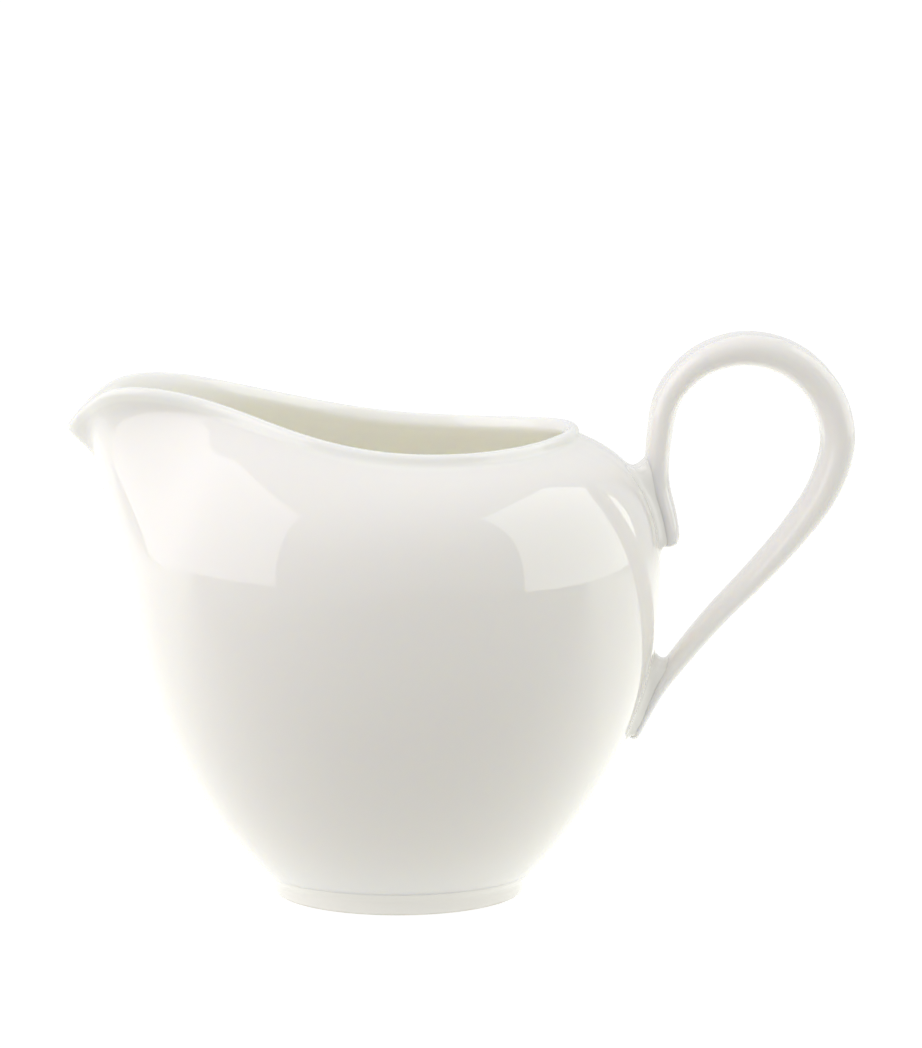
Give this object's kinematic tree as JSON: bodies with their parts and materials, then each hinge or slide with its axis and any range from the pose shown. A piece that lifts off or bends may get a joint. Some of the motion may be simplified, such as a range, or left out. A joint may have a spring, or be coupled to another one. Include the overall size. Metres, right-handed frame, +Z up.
{
  "type": "cream jug",
  "caption": "Round-bellied white porcelain cream jug with a drawn pouring lip, a looped strap handle and a bare foot ring.",
  "frame": {"origin": "on the table, under the middle of the whole jug's box; the vessel's own axis stands at X -9.8 mm", "axes": "+Z up, -X to the pouring lip, +X to the handle; the plane Y = 0 is the mirror plane"},
  "size_m": [0.1224, 0.0834, 0.088],
  "materials": {
    "glazed_porcelain": "clear gloss glaze over warm white porcelain",
    "bare_biscuit": "unglazed, ground smooth, matt"
  },
  "bodies": {
    "root": {"jug_body": "glazed_porcelain", "foot_ring": "bare_biscuit", "handle_strap": "glazed_porcelain", "upper_handle_joint": "glazed_porcelain", "lower_handle_joint": "glazed_porcelain"}
  },
  "joints": []
}
